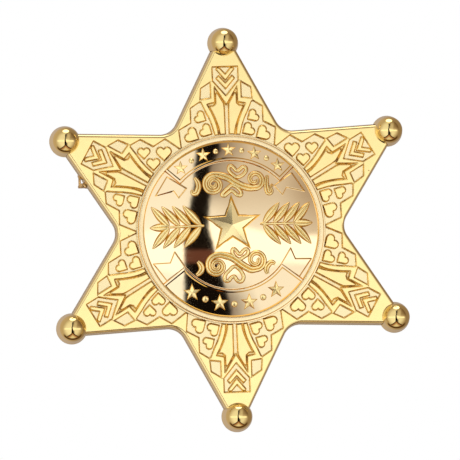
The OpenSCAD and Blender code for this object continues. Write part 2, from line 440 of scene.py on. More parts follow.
def add(tree, kind, inputs=None, **settings):
    """Adds a node, sets what it is, and links or sets its inputs"""
    node = tree.nodes.new(kind)
    for name, value in settings.items():
        setattr(node, name, value)
    for name, value in (inputs or {}).items():
        for one in value if isinstance(value, list) else [value]:
            if isinstance(one, bpy.types.NodeSocket):
                tree.links.new(one, node.inputs[name])
            else:
                node.inputs[name].default_value = one
    return node


def made(tree, kind, inputs=None, **settings):
    """Adds a node and gives its first output"""
    node = add(tree, kind, inputs, **settings)
    return node.outputs[0]


def math_node(tree, operation, first, second=0.0, third=0.0):
    return made(tree, "ShaderNodeMath", {0: first, 1: second, 2: third}, operation=operation)


def vector_of(tree, **parts):
    return made(tree, "ShaderNodeCombineXYZ", parts)


def growing_tree(name, inputs):
    """Geometry tree with a geometry in and out and named inputs, and its group input's sockets"""
    tree = bpy.data.node_groups.new(name, "GeometryNodeTree")
    tree.interface.new_socket("Geometry", in_out="INPUT", socket_type="NodeSocketGeometry")
    tree.interface.new_socket("Geometry", in_out="OUTPUT", socket_type="NodeSocketGeometry")
    for label, kind in inputs.items():
        tree.interface.new_socket(label, in_out="INPUT", socket_type="NodeSocket" + kind)
    return tree, tree.nodes.new("NodeGroupInput").outputs


WELD = 0.5e-6


def finish_tree(tree, geometry_socket, material):
    """Ends a tree in realized instances with their material"""
    real = made(tree, "GeometryNodeRealizeInstances", {"Geometry": geometry_socket})
    welded = made(tree, "GeometryNodeMergeByDistance", {"Geometry": real, "Distance": WELD})
    coated = made(tree, "GeometryNodeSetMaterial", {"Geometry": welded, "Material": material})
    add(tree, "NodeGroupOutput", {"Geometry": coated})


def mesh_from(obj, modifier):
    """The plain mesh that an object's modifier makes of it. The modifier is then removed."""
    bpy.context.view_layer.update()
    evaluated = obj.evaluated_get(bpy.context.evaluated_depsgraph_get())
    mesh = bpy.data.meshes.new_from_object(evaluated)
    obj.modifiers.remove(modifier)
    return mesh


def grown(source, tree, values, name):
    """The plain mesh object that a tree makes of a source, which is then removed"""
    modifier = source.modifiers.new("grow", "NODES")
    modifier.node_group = tree
    for item in tree.interface.items_tree:
        if item.in_out == "INPUT" and item.name in values:
            modifier[item.identifier] = values[item.name]
    mesh = mesh_from(source, modifier)
    bpy.data.objects.remove(source)
    smooth(mesh)
    return linked(name, mesh)


# Cells a metre of the plate's drift of tone and of its polish, and how far each goes
DRIFT_CELLS = 120.0
DRIFT_LOW = 0.93
POLISH_CELLS = 900.0
POLISH_SPREAD = 0.25


def mixed(tree, share, first, second):
    """Colour between two colours"""
    return add(tree, "ShaderNodeMix", {0: share, 6: first, 7: second}, data_type="RGBA").outputs[2]


def painted(tree, name):
    return add(tree, "ShaderNodeAttribute", attribute_name=name).outputs["Fac"]


def plated(name, gold, roughness, grain, bump_um):
    """Polished plate: gold with a faint drift of tone, uneven polish and a fine grain.
    Returns the material, its tree, its shader, and the sockets of tone and roughness."""
    material = bpy.data.materials.new(name)
    material.use_nodes = True
    tree = material.node_tree
    shader = tree.nodes["Principled BSDF"]
    shader.inputs["Metallic"].default_value = 1.0
    place = add(tree, "ShaderNodeTexCoord").outputs["Object"]
    drift = add(tree, "ShaderNodeTexNoise", {"Vector": place, "Scale": DRIFT_CELLS, "Detail": 3.0})
    shade = [c * DRIFT_LOW for c in gold]
    tone = mixed(tree, drift.outputs["Fac"], (*shade, 1), (*gold, 1))
    polish = add(tree, "ShaderNodeTexNoise", {"Vector": place, "Scale": POLISH_CELLS, "Detail": 4.0})
    rough = made(tree, "ShaderNodeMapRange",
                 {0: polish.outputs["Fac"], 3: roughness * (1 - POLISH_SPREAD),
                  4: roughness * (1 + POLISH_SPREAD)})
    fine = add(tree, "ShaderNodeTexNoise", {"Vector": place, "Scale": grain, "Detail": 2.0})
    bump = made(tree, "ShaderNodeBump",
                {"Strength": 1.0, "Distance": bump_um * 1e-6, "Height": fine.outputs["Fac"]})
    tree.links.new(tone, shader.inputs["Base Color"])
    tree.links.new(rough, shader.inputs["Roughness"])
    tree.links.new(bump, shader.inputs["Normal"])
    return material, tree, shader, tone, rough


def ramp(tree, value, low, high, at_low=0.0, at_high=1.0):
    return made(tree, "ShaderNodeMapRange", {0: value, 1: low, 2: high, 3: at_low, 4: at_high})


def tinted(tree, share, tone, colour):
    return mixed(tree, share, tone, (*colour, 1))


# The floor of the panels is blasted pale, the leaves have fine lines along them, and here and there
# the casting has a dark pit. The walls and the grooves get painted shade, a deeper gold with dark
# brown patches that stands in for the dim reflections the metal throws on itself there.
FACE_GOLD = (0.87, 0.67, 0.30)
FLOOR_GOLD = (0.88, 0.73, 0.42)
LEAF_GOLD = (0.80, 0.61, 0.28)
WALL_SHADE_GOLD = (0.78, 0.50, 0.13)
WALL_SHADE_BROWN = (0.26, 0.11, 0.02)
PIT_BROWN = (0.16, 0.09, 0.03)
FLOOR_ROUGH = 0.27
LINES_ACROSS = 6.0
LINES_ALONG = 0.5
LINE_FADE = (0.35, 0.65)
# Pits are chosen by a random share of their cells, and fade out at these distances in a cell
PIT_CELLS = 420.0
PIT_CHOICE = (0.955, 0.957)
PIT_FADE = (0.09, 0.05)
PIT_SHARE = 0.8
# Cells a metre and fade of the dark brown patches in the walls' painted shade, and how much of that shade
# is laid on
PATCH_CELLS = 700.0
PATCH_FADE = (0.5, 0.72)
WALL_SHADE_SHARE = 0.92
MATT_FROM = 0.55
star_gold, tree, shader, tone, rough = plated("star_gold", FACE_GOLD, 0.16, 5000.0, 0.35)
sunk, on_lobe, wall, across, along = (
    painted(tree, name) for name in ("sunk", "lobe", "wall", "across", "along"))
matt = ramp(tree, sunk, MATT_FROM, 1.0)
lines_at = vector_of(tree, X=math_node(tree, "MULTIPLY", across, LINES_ACROSS),
                     Y=math_node(tree, "MULTIPLY", along, LINES_ALONG))
lines = add(tree, "ShaderNodeTexNoise", {"Vector": lines_at, "Scale": 1.0, "Detail": 2.0})
leaf_lines = ramp(tree, lines.outputs["Fac"], *LINE_FADE, 0.2, 1.0)
leaf_share = math_node(tree, "MULTIPLY", on_lobe, leaf_lines)
place = add(tree, "ShaderNodeTexCoord").outputs["Object"]
cells = add(tree, "ShaderNodeTexVoronoi", {"Vector": place, "Scale": PIT_CELLS})
chosen = made(tree, "ShaderNodeSeparateColor", {0: cells.outputs["Color"]})
pits = math_node(tree, "MULTIPLY", ramp(tree, chosen, *PIT_CHOICE),
                 ramp(tree, cells.outputs["Distance"], *PIT_FADE))
tint = tinted(tree, leaf_share, tone, LEAF_GOLD)
tint = tinted(tree, matt, tint, FLOOR_GOLD)
patches = add(tree, "ShaderNodeTexNoise", {"Vector": place, "Scale": PATCH_CELLS, "Detail": 3.0})
wall_shade_patches = ramp(tree, patches.outputs["Fac"], *PATCH_FADE)
# Painted shade on the walls and grooves: deeper gold with dark brown patches
painted_wall_shade = tinted(tree, wall_shade_patches, (*WALL_SHADE_GOLD, 1), WALL_SHADE_BROWN)
tint = mixed(tree, math_node(tree, "MULTIPLY", wall, WALL_SHADE_SHARE), tint, painted_wall_shade)
tint = tinted(tree, math_node(tree, "MULTIPLY", pits, PIT_SHARE), tint, PIT_BROWN)
dull = made(tree, "ShaderNodeMix", {0: matt, 2: rough, 3: FLOOR_ROUGH}, data_type="FLOAT")
tree.links.new(tint, shader.inputs["Base Color"])
tree.links.new(dull, shader.inputs["Roughness"])

tree, entry = growing_tree("turned_points", {"Points": "Int", "Turn": "Float"})
spots = made(tree, "GeometryNodePoints", {"Count": entry["Points"]})
number = made(tree, "GeometryNodeInputIndex")
turned = vector_of(tree, Z=math_node(tree, "MULTIPLY", number, entry["Turn"]))
copies = made(tree, "GeometryNodeInstanceOnPoints",
              {"Points": spots, "Instance": entry["Geometry"], "Rotation": turned})
finish_tree(tree, copies, star_gold)
star = grown(one_point, tree, {"Points": POINTS, "Turn": -TURN}, "star")
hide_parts("star_plate")
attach(star, "root")

# Ball tips. Each point ends in a cast ball on a round collar that widens towards the back, all
# one piece, polished to a mirror and soldered over the point's end, which fits a notch below.
BALL_R = 2.5
BALL_GAP = 0.05
BALL_COLUMNS = 72
FOOT_ROUND = 0.15
NOTCH_L = 4
FOLD = math.radians(35)


def turned_shape(profile, middle, columns):
    """Shape of a profile of (radius, height) turned about an upright axis, closed at its ends"""
    shape = Shape()
    ways = [cmath.rect(1, 2 * math.pi * c / columns) for c in range(columns)]
    wide = [(r, z) for r, z in profile if r > 0]
    ring_part = [(*flat_spot(middle + r * way), z) for r, z in wide for way in ways]
    shape.add(ring_part, rows_of_faces(len(wide), columns, closed=True))
    for at_end, row in ((0, 0), (-1, len(wide) - 1)):
        if profile[at_end][0] == 0:
            first = row * columns
            pole = [(*flat_spot(middle), profile[at_end][1])]
            rim = [shape.vertices[first + c] for c in range(columns)]
            fan = [(0, c + 1, (c + 1) % columns + 1) for c in range(columns)]
            shape.add(pole + rim, [f[::-1] for f in fan] if at_end == 0 else fan)
    return shape


def applied(piece, kind, **settings):
    """Gives a piece the plain mesh that one modifier makes of it"""
    modifier = piece.modifiers.new("work", kind)
    for name, value in settings.items():
        setattr(modifier, name, value)
    piece.data = mesh_from(piece, modifier)


BALL_GOLD = (0.83, 0.63, 0.26)
ball_gold = plated("ball_gold", BALL_GOLD, 0.07, 4000.0, 0.3)[0]
for number in range(POINTS):
    node = f"ball_tip_{number + 1}"
    low, high = corners(node)
    way = cmath.rect(1, -number * TURN)
    middle = way * complex(0, ball_r)
    middle_z = high.z - BALL_R
    foot_r = (top_ball_high.x - top_ball_low.x) / 2
    foot_z = low.z + FOOT_ROUND
    profile = [(0, low.z)]
    profile += [(foot_r - inset, z) for inset, z in foot_round(FOOT_ROUND, low.z)]
    profile += [(foot_r + (BALL_R - foot_r) * t, foot_z + (middle_z - foot_z) * t)
                for t in np.linspace(0, 1, 9)[1:-1]]
    profile += [(BALL_R * math.cos(t), middle_z + BALL_R * math.sin(t)) for t in quarter(27)[:-1]]
    profile += [(0, high.z)]
    ball = turned_shape(profile, middle, BALL_COLUMNS).piece(f"ball_{number + 1}")
    # The notch is the point's end grown by a gap, open at the back and rounded to the face
    notch_shape = Shape()
    loops = [(BACK_ROUND - BALL_GAP, low.z - 1)] + edge_rows(BALL_GAP)
    loops[-1] = (loops[-1][0], face_z + BALL_GAP / 2)
    loops.append((face_in - BALL_GAP, face_z + BALL_GAP))
    for inset, z in loops:
        corner = star_edge(inset)[-1 - END_STEPS]
        start = complex(corner.real + NOTCH_L * slope, corner.imag - NOTCH_L)
        for p in (start, corner, -corner.conjugate(), -start.conjugate()):
            notch_shape.vertices.append((*flat_spot(way * p), z))
    notch_shape.faces = rows_of_faces(len(loops), 4, closed=True)
    last = 4 * (len(loops) - 1)
    notch_shape.faces += [(3, 2, 1, 0), (last, last + 1, last + 2, last + 3)]
    notch = notch_shape.piece(f"notch_{number + 1}")
    applied(ball, "BOOLEAN", solver="EXACT", object=notch)
    bpy.data.objects.remove(notch)
    smooth(ball.data)
    ball.data.set_sharp_from_angle(angle=FOLD)
    ball.data.materials.append(ball_gold)
    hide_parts(node)
    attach(ball, "root")

# Seal. A round cast shell, gold plated to a mirror, that lies in the star's seat: a flat edge, a
# squarish bead, and a dome with an arched ribbon above and a wider one below, whose tails hang
# lower than the ribbons, all struck in one piece with the dome.
DOME_H = 2.5
EDGE_W = 0.35
BEAD_W = 0.9
BEAD_RISE = 0.75
bead_r = seal_r - EDGE_W - BEAD_W / 2
dome_r = bead_r - BEAD_W / 2
dome_z = face_z + BEAD_RISE / 3
dome_round = (dome_r ** 2 + DOME_H ** 2) / (2 * DOME_H)
dome_middle_z = dome_z + DOME_H - dome_round
SEAL_COLUMNS = 288
RIBBON_RISE = 0.26
TAIL_RISE = 0.15
RIBBON_WALL = 0.3
# A raised rim runs inside each ribbon's edge, and a line of painted shade beside it, at these depths
RIBBON_RIM = 0.04
RIM_AT = (0.15, 0.42, 0.6)
RIM_SHADE_LINE = (0.38, 0.46, 0.58, 0.66)
# Ribbons' inner radius and half width, and the tails' right outlines, in shares of the dome
TOP_IN = 0.773
TOP_HALF = math.radians(47)
LOW_IN = 0.689
LOW_HALF = math.radians(53)
RIBBON_OUT = 1.02
RIBBON_STEPS = 40
TAILS = [[(0.712, 0.614), (0.849, 0.401), (0.640, 0.449), (0.591, 0.368), (0.500, 0.473)],
         [(0.545, -0.420), (0.660, -0.242), (0.711, -0.364), (0.898, -0.367), (0.753, -0.565)]]


def ribbon(r_in, middle, half):
    outer = ring(RIBBON_OUT * dome_r, middle - half, middle + half, RIBBON_STEPS)
    inner = ring(r_in * dome_r, middle + half, middle - half, RIBBON_STEPS)
    return outer + inner


struck = [(ribbon(TOP_IN, math.pi / 2, TOP_HALF), RIBBON_RISE),
          (ribbon(LOW_IN, -math.pi / 2, LOW_HALF), RIBBON_RISE)]
for tail in TAILS:
    right = [dome_r * complex(*row) for row in tail]
    struck.append((right, TAIL_RISE))
    struck.append(([-p.conjugate() for p in right], TAIL_RISE))


def seal_height(points):
    """Height of the dome with its ribbons, and the share of painted shade on their walls and rim lines"""
    rise = np.zeros(len(points))
    painted_shade_line = np.zeros(len(points))
    for outline, top in struck:
        depth = depth_inside(points, outline)
        share = wall_height(depth, RIBBON_WALL)
        line = wall_share(share)
        rim = 0
        if top == RIBBON_RISE:
            rim = RIBBON_RIM * np.interp(depth, (0, *RIM_AT), (0, 1, 1, 0))
            line = np.maximum(line, np.interp(depth, RIM_SHADE_LINE, (0, 1, 1, 0)))
        painted_shade_line = np.where(top * share + rim > rise, line, painted_shade_line * (1 - share))
        rise = np.maximum(rise, top * share + rim)
    level = np.sqrt(dome_round ** 2 - np.abs(points) ** 2) + dome_middle_z
    return level + rise, painted_shade_line


EDGE_LINES = (0, 0.06, 0.16)
RING_STEP = 0.55
STRUCK_STEP = 0.5
seal_lines = [(ring(dome_r - inset, count=SEAL_COLUMNS)[:-1], True) for inset in EDGE_LINES]
for outline, top in struck:
    shifts = [share * RIBBON_WALL for share in WALL_LINES]
    if top == RIBBON_RISE:
        shifts += [*RIM_AT[1:], *RIM_SHADE_LINE]
    seal_lines += [(beside(outline, shift, STRUCK_STEP), True) for shift in shifts]
for r in np.arange(RING_STEP, dome_r - RING_STEP / 2, RING_STEP):
    seal_lines.append((ring(r, count=max(8, round(2 * math.pi * r / RING_STEP)))[:-1], True))
dome_spots, dome_faces = flat_mesh(seal_lines, lambda points: np.abs(points) < dome_r)
on_rim = np.abs(np.abs(dome_spots) - dome_r) < SNAP
dome_spots[on_rim] *= dome_r / np.abs(dome_spots[on_rim])
seal = Shape()
levels, painted_shade_line = seal_height(dome_spots)
from_edge = dome_r - np.abs(dome_spots)
# The dome's edge against the bead gets painted shade as well
painted_shade_line = np.maximum(painted_shade_line, np.interp(from_edge, EDGE_LINES[1:], (1, 0)))
seal.add(list(zip(dome_spots.real, dome_spots.imag, levels)), dome_faces, line=painted_shade_line)
rim = sorted(zip(dome_spots[on_rim], levels[on_rim]), key=lambda row: cmath.phase(row[0]))
count = len(rim)
skirt = [(*flat_spot(p), floor_z) for p, _ in rim] + [(*flat_spot(p), z) for p, z in rim]
seal.add(skirt, rows_of_faces(2, count, closed=True))
seal.add([(0, 0, floor_z)] + skirt[:count], [(0, (i + 1) % count + 1, i + 1) for i in range(count)])
seal_obj = seal.piece("seal_dome")
# Smooth normals come from the height's own slope, so that the mirror shows no facets
NUDGE = 0.004
seal_spots = np.array([complex(v.co.x, v.co.y) for v in seal_obj.data.vertices]) / MM
seal_levels = np.array([v.co.z for v in seal_obj.data.vertices]) / MM
seal_spots = np.where(np.abs(seal_spots) < dome_r - NUDGE, seal_spots, seal_spots * (1 - NUDGE))
slope_x, slope_y = ((seal_height(seal_spots + way)[0] - seal_height(seal_spots - way)[0]) / (2 * NUDGE)
                    for way in (NUDGE, 1j * NUDGE))
normals = np.stack([-slope_x, -slope_y, np.ones(len(slope_x))], axis=1)
normals /= np.linalg.norm(normals, axis=1)[:, None]
normals[seal_levels < floor_z + NUDGE] = (0, 0, -1)
seal_obj.data.normals_split_custom_set_from_vertices([tuple(n) for n in normals])

# The bead's section is a squarish arch, with a line of painted shade in the corner outside its foot
BEAD_POWER = 0.32
BEAD_FOOT = (0.05, 0.12)
FOOT_SHADE = 0.02
FOOT_SHADE_FADE = (0.04, 0.08)
CORNER = 0.08
crown = face_z + BEAD_RISE - dome_z
bead_out = bead_r + BEAD_W / 2
profile = [(dome_r, floor_z)]
for t in np.linspace(math.pi, 0, 25):
    across = math.copysign(abs(math.cos(t)) ** BEAD_POWER, math.cos(t))
    up = abs(math.sin(t)) ** BEAD_POWER
    profile.append((bead_r + across * BEAD_W / 2, dome_z + crown * up))
profile += [(bead_out + outside, dome_z) for outside in BEAD_FOOT]
profile += [(seal_r - CORNER * (1 - math.sin(t)), dome_z - CORNER * (1 - math.cos(t))) for t in quarter(3)]
profile += [(seal_r, floor_z), (dome_r, floor_z)]
rim_shape = turned_shape(profile[::-1], 0j, SEAL_COLUMNS)
from_foot = [abs(math.hypot(x, y) - bead_out - FOOT_SHADE) for x, y, _ in rim_shape.vertices]
rim_shape.values["line"] = [float(np.interp(far, FOOT_SHADE_FADE, (1, 0))) for far in from_foot]
rim_obj = rim_shape.piece("seal_rim")

SEAL_GOLD = (0.95, 0.75, 0.47)
RIM_GOLD = (0.87, 0.70, 0.41)
# Deeper gold of the painted shade on the walls and corners of struck work, and how much of it is laid on
PAINTED_SHADE_GOLD = (0.68, 0.34, 0.04)
RELIEF_GOLD = (1.0, 0.79, 0.36)
PAINTED_SHADE_SHARE = 0.95


def struck_gold_with_painted_shade(name, gold, roughness, grain, bump_um):
    """Plate with painted shade, a deeper gold, on the walls and in the corners of struck work"""
    material, tree, shader, tone, rough = plated(name, gold, roughness, grain, bump_um)
    shade_share = math_node(tree, "MULTIPLY", painted(tree, "line"), PAINTED_SHADE_SHARE)
    shaded_tone = tinted(tree, shade_share, tone, PAINTED_SHADE_GOLD)
    tree.links.new(shaded_tone, shader.inputs["Base Color"])
    return material


seal_gold = struck_gold_with_painted_shade("seal_gold", SEAL_GOLD, 0.06, 450.0, 5.0)
rim_gold = struck_gold_with_painted_shade("rim_gold", RIM_GOLD, 0.25, 4000.0, 0.3)
seal_obj.data.materials.append(seal_gold)
rim_obj.data.materials.append(rim_gold)
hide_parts("medallion")
for piece in (seal_obj, rim_obj):
    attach(piece, "root")

# Scrollwork. Above and below the middle band a vine is struck on the dome: a grooved stem that
# curls up at both ends, two open hearts on it, and a small hook at each side. Every stroke is
# raised from the dome and stands a little lower than the ribbons.
STROKE_W = 1.42
CURL_W = 1.2
STROKE_RISE = 0.24
HEART_STROKE_W = 0.74
HEART_STROKE_RISE = 0.26
SUNK_FOOT = 0.12
CURL_STEP = 30
# A wall's painted shade is deepest below the lower height over the dome and gone above the higher one
WALL_SHADE_FADE = (0.1, 0.16)


def curl(middle, radii, start, sweep, w_start, w_end):
    """Rows of (x, y, width) along a spiral whose radius follows the list, with angles in degrees"""
    rows = []
    for t in np.linspace(0, 1, round(abs(sweep) / CURL_STEP) + 1):
        radius = np.interp(t * (len(radii) - 1), range(len(radii)), radii)
        p = middle + cmath.rect(radius, math.radians(start + sweep * t))
        rows.append((*flat_spot(p), w_start + (w_end - w_start) * t))
    return rows


def stem(points, width=STROKE_W):
    return [(x, y, width) for x, y in points]


def curve_object(name):
    curve = bpy.data.curves.new(name, "CURVE")
    curve.dimensions = "3D"
    return linked(name, curve)


def stroke_curve(name, strokes, closed=False):
    """Curve object whose splines pass smoothly through rows of (x, y, width)"""
    obj = curve_object(name)
    for rows in strokes:
        spline = obj.data.splines.new("BEZIER")
        spline.bezier_points.add(len(rows) - 1)
        spline.use_cyclic_u = closed
        for point, (x, y, width) in zip(spline.bezier_points, rows):
            point.co = Vector((x, y, 0)) * MM
            point.handle_left_type = "AUTO"
            point.handle_right_type = "AUTO"
            point.radius = width
    return obj


def stroke_profile(name, rows):
    """Closed curve object of a stroke's section, for a stroke one unit wide, which is swept with
    its +Y down"""
    obj = curve_object(name)
    spline = obj.data.splines.new("POLY")
    points = rows + [(-x, z) for x, z in reversed(rows) if x > 0]
    spline.points.add(len(points) - 1)
    spline.use_cyclic_u = True
    for point, (x, z) in zip(spline.points, points):
        point.co = (x * MM, -z * MM, 0, 1)
    return obj


def laid_on_dome(tree, geometry_socket, entry, base=0.0):
    """Lifts flat geometry on to the dome, and keeps how far each point is down its walls, for painted
    shade there
    """
    place = made(tree, "GeometryNodeInputPosition")
    apart = add(tree, "ShaderNodeSeparateXYZ", {0: place}).outputs
    above = math_node(tree, "SUBTRACT", apart["Z"], base)
    line = made(tree, "ShaderNodeMapRange", {0: above, 1: WALL_SHADE_FADE[1] * MM, 2: WALL_SHADE_FADE[0] * MM})
    marked = made(tree, "GeometryNodeStoreNamedAttribute",
                  {"Geometry": geometry_socket, "Name": "line", "Value": line},
                  data_type="FLOAT", domain="POINT")
    square = math_node(tree, "MULTIPLY", entry["Dome radius"], entry["Dome radius"])
    for name in ("X", "Y"):
        part_square = math_node(tree, "MULTIPLY", apart[name], apart[name])
        square = math_node(tree, "SUBTRACT", square, part_square)
    level = math_node(tree, "ADD", math_node(tree, "SQRT", square), entry["Dome middle"])
    lift = vector_of(tree, Z=level)
    return made(tree, "GeometryNodeSetPosition", {"Geometry": marked, "Offset": lift})


relief_gold = struck_gold_with_painted_shade("seal_relief_gold", RELIEF_GOLD, 0.28, 3000.0, 0.35)
STROKE_STEP = 0.07
DOME_INPUTS = {"Dome radius": "Float", "Dome middle": "Float"}
dome_values = {"Dome radius": dome_round * MM, "Dome middle": dome_middle_z * MM}
stroke_tree, entry = growing_tree("strokes", {"Section": "Object", "Step": "Float", **DOME_INPUTS})
flat = made(stroke_tree, "GeometryNodeSetCurveNormal", {"Curve": entry["Geometry"]}, mode="Z_UP")
fine = made(stroke_tree, "GeometryNodeResampleCurve", {"Curve": flat, "Length": entry["Step"]},
            mode="LENGTH")
section = add(stroke_tree, "GeometryNodeObjectInfo", {"Object": entry["Section"]})
width = made(stroke_tree, "GeometryNodeInputRadius")
swept = made(stroke_tree, "GeometryNodeCurveToMesh",
             {"Curve": fine, "Profile Curve": section.outputs["Geometry"],
              "Scale": width, "Fill Caps": True})
finish_tree(stroke_tree, laid_on_dome(stroke_tree, swept, entry), relief_gold)

# Half sections as (share of the width, share of the rise), with a low skirt beside the stroke
GROOVED = [(0, 0.3), (0.04, 0.4), (0.10, 0.92), (0.14, 1), (0.3, 1), (0.345, 0.88), (0.4, 0.2),
           (0.49, 0.14)]
PLAIN = [(0, 1), (0.22, 0.95), (0.3, 0.7), (0.36, 0.2), (0.49, 0.142)]


def half_section(rows, width, rise):
    """Half section of a stroke one unit wide that is drawn at a width, with its foot sunk"""
    return [(x, z * rise / width) for x, z in rows] + [(0.5, -SUNK_FOOT / width)]


grooved = stroke_profile("grooved_section", half_section(GROOVED, 1, STROKE_RISE))
plain = stroke_profile("plain_section", half_section(PLAIN, HEART_STROKE_W, HEART_STROKE_RISE))

# Each vine's left curl, stem and right curl. A curl's radii go from its mouth to its eye.
LEFT_EYE_W = 0.66
RIGHT_EYE_W = 0.7
TOP_LEFT_CURL = [1.85, 1.65, 1.45, 1.25, 1.02, 0.84, 0.64, 0.42, 0.3]
TOP_RIGHT_CURL = [1.55, 1.35, 1.28, 1.05, 0.72, 0.4, 0.28]
LOW_LEFT_CURL = [2.1, 1.65, 1.38, 1.22, 0.98, 0.8, 0.6, 0.4, 0.3]
LOW_RIGHT_CURL = [1.7, 1.47, 1.42, 1.15, 0.86, 0.56, 0.4]
vines = [
    curl(complex(-3.1, 8.3), TOP_LEFT_CURL, 75, 690, CURL_W, LEFT_EYE_W)[::-1]
    + stem([(-1.1, 9.7), (0.0, 9.2), (0.8, 8.6), (1.5, 8.2), (2.5, 7.7), (3.5, 7.45)])
    + curl(complex(4.6, 8.9), TOP_RIGHT_CURL, -100, 480, CURL_W, RIGHT_EYE_W),
    curl(complex(-3.1, -6.9), LOW_LEFT_CURL, 80, 690, CURL_W, LEFT_EYE_W)[::-1]
    + stem([(-1.1, -5.1), (-0.3, -5.4), (0.6, -6.0), (1.5, -6.7), (2.4, -7.3), (3.3, -7.7)])
    + curl(complex(4.2, -6.0), LOW_RIGHT_CURL, -95, 500, CURL_W, RIGHT_EYE_W),
]
# Hooks as rows of (x, y, width), and the open hearts as closed rows of (x, y)
hooks = [
    [(-6.6, 9.7, 0.6), (-6.1, 9.0, 0.95), (-5.9, 8.2, 1.1), (-6.1, 7.4, 1.15), (-6.6, 6.75, 1.1),
     (-7.1, 6.9, 0.8), (-7.0, 7.4, 0.6)],
    [(7.0, 9.7, 0.6), (6.8, 8.9, 0.9), (6.7, 8.0, 1.1), (6.8, 7.1, 1.1), (7.1, 6.4, 1.0),
     (7.6, 6.6, 0.8), (7.5, 7.4, 0.65), (7.9, 8.0, 0.5)],
    [(-6.6, -5.9, 0.65), (-6.1, -6.5, 1.1), (-5.9, -7.3, 1.15), (-6.3, -8.0, 1.05),
     (-6.9, -8.4, 0.65)],
    [(7.8, -6.8, 0.65), (7.2, -6.5, 1.0), (6.5, -6.9, 1.15), (6.1, -7.7, 1.1), (6.3, -8.6, 0.65)],
]
open_hearts = [
    [(1.4, 10.7), (0.7, 11.4), (0.2, 11.7), (-0.15, 11.3), (0.0, 10.6), (0.6, 9.95), (1.25, 9.5),
     (2.05, 9.7), (2.8, 10.3), (3.1, 10.9), (2.85, 11.35), (2.4, 11.35), (1.9, 10.95)],
    [(0.2, 8.0), (-0.65, 7.4), (-1.4, 6.75), (-1.65, 6.3), (-1.3, 6.1), (-0.7, 6.5), (0.05, 6.95),
     (0.65, 6.7), (1.1, 6.25), (1.65, 6.05), (1.95, 6.4), (1.65, 7.1), (1.0, 7.7)],
    [(1.2, -4.8), (0.55, -4.15), (0.05, -3.8), (-0.2, -4.2), (0.0, -4.8), (0.5, -5.45), (1.1, -5.75),
     (1.85, -5.4), (2.6, -4.85), (2.8, -4.3), (2.4, -3.9), (1.85, -4.2)],
    [(0.2, -7.05), (-0.8, -7.7), (-1.65, -8.75), (-1.55, -9.6), (-0.95, -9.6), (-0.5, -9.1),
     (0.1, -8.9), (0.45, -9.45), (1.15, -9.9), (1.75, -9.35), (1.5, -8.2), (0.8, -7.4)],
]
vine_curve = stroke_curve("vine_lines", vines + hooks)
vine_values = {"Section": grooved, "Step": STROKE_STEP * MM, **dome_values}
scrolls = grown(vine_curve, stroke_tree, vine_values, "seal_scrolls")
heart_lines = [stem(rows, HEART_STROKE_W) for rows in open_hearts]
heart_curve = stroke_curve("heart_lines", heart_lines, closed=True)
heart_values = {**vine_values, "Section": plain}
hearts = grown(heart_curve, stroke_tree, heart_values, "seal_hearts")
bpy.data.objects.remove(grooved)

# Middle band. A five-pointed star with cut facets stands on the dome's crown between two sprays
# of laurel, whose leaves point outwards from a thin stem, struck with the dome like the scrolls.
BAND_UP = 0.04 * dome_r
STAR_OUT = 0.31 * dome_r
STAR_IN = 0.128 * dome_r
STAR_WALL = 0.22
STAR_CUT = 0.3
LEAF_PAIRS = 4
LEAF_L = 0.32 * dome_r
LEAF_W = 0.098 * dome_r
LEAF_RISE = 0.3
LEAF_TURN = math.radians(50)
END_LEAF = 0.72
SPRAY_START = 0.35 * dome_r
SPRAY_STEP = 0.118 * dome_r
STEM_STEP = 0.1
LEAF_ROWS = 17
# Half section of a leaf as (share of the half width, share of its height)
LEAF_SECTION = [(0, 0.45), (0.05, 0.55), (0.13, 1.0), (0.45, 0.97), (0.62, 0.88), (0.71, 0.5),
                (0.77, 0.15), (0.98, 0.12)]
# A cut star's low skirt as (share of its size, height), and the share at its upper edge
STAR_SKIRT = [(1.12, 0.03), (1.0, 0.05)]
STAR_TOP = 0.9
STAR_CORNERS = 10


def cut_star(name, outer, inner, wall, top, foot=SUNK_FOOT):
    """Five-pointed star with an upright edge and ten flat facets that meet over its middle"""
    shape = Shape()
    count = STAR_CORNERS
    tips = [cmath.rect(inner if k % 2 else outer, math.pi / 2 + k * 2 * math.pi / count)
            for k in range(count)]
    levels = [(STAR_SKIRT[0][0], -foot), *STAR_SKIRT, (STAR_TOP, wall)]
    for share, level in levels:
        shape.vertices += [(share * p.real, share * p.imag, level) for p in tips]
    shape.faces = rows_of_faces(len(levels), count, closed=True)
    shape.vertices += [(0, 0, wall + top), (0, 0, -foot)]
    rim = count * (len(levels) - 1)
    peak = len(shape.vertices) - 2
    for k in range(count):
        shape.faces.append((peak, rim + k, rim + (k + 1) % count))
        shape.faces.append((peak + 1, (k + 1) % count, k))
    return shape.piece(name)


def leaf(name):
    """Pointed leaf along +X with a sunk midrib, closed by a bottom under the dome's surface"""
    half = LEAF_SECTION + [(1.0, None)]
    section = [(-s, h) for s, h in reversed(half[1:])] + half
    shape = Shape()
    for r in range(1, LEAF_ROWS):
        t = r / LEAF_ROWS
        half_w = LEAF_W / 2 * math.sin(math.pi * t ** 0.85) ** 0.8
        swell = LEAF_RISE * math.sin(math.pi * t) ** 0.3
        for s, h in section:
            shape.vertices.append((LEAF_L * t, half_w * s, -SUNK_FOOT if h is None else swell * h))
    columns = len(section)
    shape.faces = [f[::-1] for f in rows_of_faces(LEAF_ROWS - 1, columns)]
    last = (LEAF_ROWS - 2) * columns
    for row in range(0, last, columns):
        shape.faces.append((row, row + columns - 1, row + 2 * columns - 1, row + columns))
    shape.vertices += [(0, 0, -SUNK_FOOT), (LEAF_L, 0, -SUNK_FOOT)]
    root = len(shape.vertices) - 2
    tip = root + 1
    for c in range(columns):
        follower = (c + 1) % columns
        shape.faces.append((root, c, follower))
        shape.faces.append((tip, last + follower, last + c))
    return shape.piece(name)


